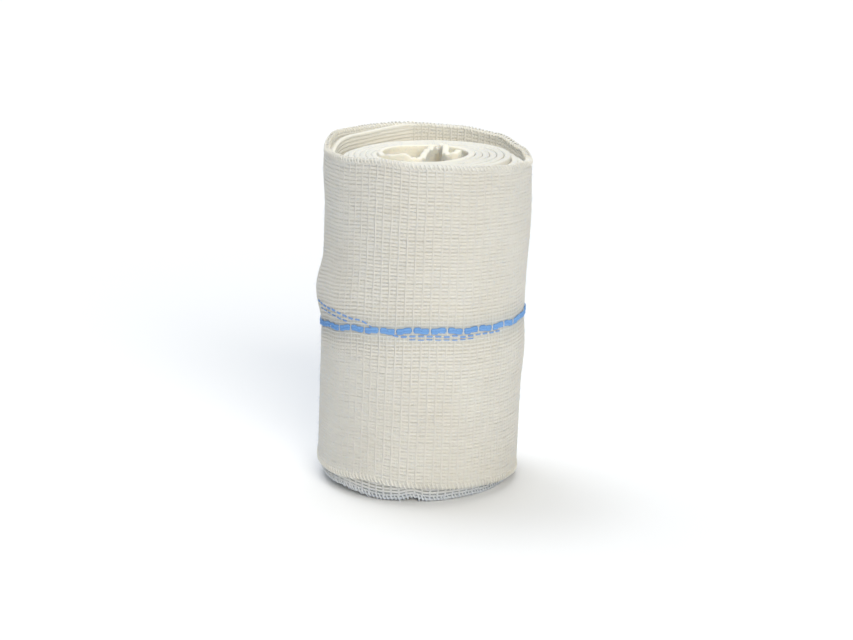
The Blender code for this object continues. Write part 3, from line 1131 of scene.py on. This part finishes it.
def make_camera():
    data = bpy.data.cameras.new("photo_camera")
    data.sensor_width = SENSOR_WIDTH
    data.sensor_fit = "HORIZONTAL"
    data.lens = FOCAL_PIXELS / PHOTO_WIDTH * SENSOR_WIDTH
    data.shift_x = (PHOTO_WIDTH / 2 - LOOK_AT_PIXEL[0]) / PHOTO_WIDTH
    data.shift_y = (LOOK_AT_PIXEL[1] - PHOTO_HEIGHT / 2) / PHOTO_WIDTH
    data.clip_start = CLIP_NEAR
    data.clip_end = CLIP_FAR
    camera = bpy.data.objects.new("photo_camera", data)
    back = CAMERA_DISTANCE * math.cos(CAMERA_TILT)
    rise = CAMERA_DISTANCE * math.sin(CAMERA_TILT)
    camera.location = (0.0, -back, LOOK_AT_HEIGHT + rise)
    camera.rotation_euler = (math.pi / 2 - CAMERA_TILT, 0.0, 0.0)
    bpy.context.scene.collection.objects.link(camera)
    bpy.context.scene.camera = camera


def make_sun(name, azimuth, elevation, spread, on_floor, colour):
    """A soft light from far away: on_floor is the brightness that it gives a white floor."""
    data = bpy.data.lights.new(name, "SUN")
    data.angle = spread * DEGREE
    data.energy = on_floor * math.pi / math.sin(elevation * DEGREE)
    data.color = colour
    light = bpy.data.objects.new(name, data)
    light.rotation_euler = (math.pi / 2 - elevation * DEGREE, 0.0, azimuth * DEGREE + math.pi / 2)
    light.location = (0.0, 0.0, LIGHT_HEIGHT)
    bpy.context.scene.collection.objects.link(light)


def make_floor():
    half = FLOOR_SIZE / 2
    corners = [(-half, -half, 0), (half, -half, 0), (half, half, 0), (-half, half, 0)]
    mesh = bpy.data.meshes.new("floor")
    mesh.from_pydata(corners, [], [(0, 1, 2, 3)])
    material = bpy.data.materials.new("white_floor")
    material.use_nodes = True
    shader = material.node_tree.nodes["Principled BSDF"]
    shader.inputs["Base Color"].default_value = (*FLOOR_COLOUR, 1.0)
    shader.inputs["Roughness"].default_value = ROUGHNESS
    shader.inputs["Specular IOR Level"].default_value = 0.0
    mesh.materials.append(material)
    floor = bpy.data.objects.new("floor", mesh)
    bpy.context.scene.collection.objects.link(floor)


def make_world():
    world = bpy.data.worlds.new("studio")
    world.use_nodes = True
    background = world.node_tree.nodes["Background"]
    background.inputs["Color"].default_value = (*SKY_COLOUR, 1.0)
    background.inputs["Strength"].default_value = SKY_STRENGTH
    bpy.context.scene.world = world


def make_studio():
    bpy.context.scene.view_settings.view_transform = "Standard"
    make_camera()
    make_floor()
    make_world()
    for name, azimuth, elevation, spread, on_floor, colour in SOFTBOXES:
        make_sun(name, azimuth, elevation, spread, on_floor, colour)


def main():
    make_studio()
    tone = cotton_tone_group()
    tint = web_tint_group()
    weave = gauze_weave_group()
    cotton = cotton_material("cotton_yarn", COTTON_LIGHT, COTTON_DEEP, tone, tint)
    ground = woven_ground_material(tone, tint, weave)
    blue = cotton_material("blue_tracer_yarn", TRACER_LIGHT, TRACER_DEEP, tone, soak=TRACER_SOAK)
    under_blue = cotton_material("blue_under_yarn", UNDER_LIGHT, UNDER_DEEP, tone, soak=TRACER_SOAK)
    # Loose fibres in blue-grey: painted cool shade at the outline
    fuzz = cotton_material("cotton_fuzz_painted_shade", FUZZ_SHADE_LIGHT, FUZZ_SHADE_DEEP, tone, soak=FUZZ_SOAK)
    make_web_wall(ground)
    upper, lower = row_girths()
    row_step = upper[-1] - upper[-2]
    rim = upper[-1] + row_step * np.arange(1, ROWS_PAST_TOP + 1)
    outer_start = TURNS - 1 + ROW_START / OUTER_LENGTH
    make_rows("upper_rows", upper, outer_start, TURNS, ROW_HALF_WIDTH, cotton)
    make_rows("lower_rows", lower, outer_start, TURNS, ROW_HALF_WIDTH, cotton)
    make_rows("rim_rows", rim, TURNS - RIM_TURNS, TURNS, ROW_HALF_WIDTH, cotton)
    foot = (np.arange(-1, FOOT_ROWS) + 0.5) * row_step
    foot_start = TURNS - FOOT_TURNS
    foot_end = TURNS - FOOT_LAST_TURNS
    make_rows("foot_rows", foot, foot_start, foot_end, FOOT_ROW_HALF_WIDTH, cotton)
    girths = np.sort(np.concatenate([upper, lower, rim, [0.5]]))
    fine_girths = np.interp(np.arange(0, len(girths) - 0.5, 0.5), np.arange(len(girths)), girths)
    every_second = np.arange(RIBS)[:, None] % 2 == 0
    crossing = np.where(every_second, RIB_OVER_TRACER, RIB_UNDER_TRACER)
    make_ribs("ribs", 0.0, RIBS, fine_girths, RIB_HALF_WIDTH, OPEN_RIB_HALF_WIDTH, crossing, cotton)
    make_ribs(
        "half_ribs", 0.5, RIBS, girths,
        HALF_RIB_HALF_WIDTH, OPEN_RIB_HALF_WIDTH, RIB_UNDER_TRACER, cotton,
    )
    foot_ribs = round((FOOT_TURNS - FOOT_LAST_TURNS) * RIBS)
    make_ribs(
        "foot_ribs", -foot_ribs, foot_ribs, foot, RIB_HALF_WIDTH, OPEN_RIB_HALF_WIDTH, 0.0, cotton
    )
    make_fold_stitches("lower_stitches", *LOWER_STITCH_GIRTHS, TURNS - 1, TURNS, cotton)
    make_fold_stitches("upper_stitches", *UPPER_STITCH_GIRTHS, TURNS - 1, TURNS, cotton)
    make_fold_stitches("foot_stitches", *FOOT_STITCH_GIRTHS, foot_start, foot_end, cotton)
    make_tracer_strands(blue)
    for name, first_azimuth, last_azimuth, raised, half_width in UNDER_BANDS:
        make_under_tracer(name, first_azimuth, last_azimuth, raised, half_width, under_blue)
    make_fuzz("loose_fibres", OUTER_FIBRES, TURNS - 1, TURNS, *OUTER_FIBRE_GIRTHS, fuzz)
    make_fuzz("disc_fibres", DISC_FIBRES, -1, TURNS - 1, *DISC_FIBRE_GIRTHS, fuzz)


main()
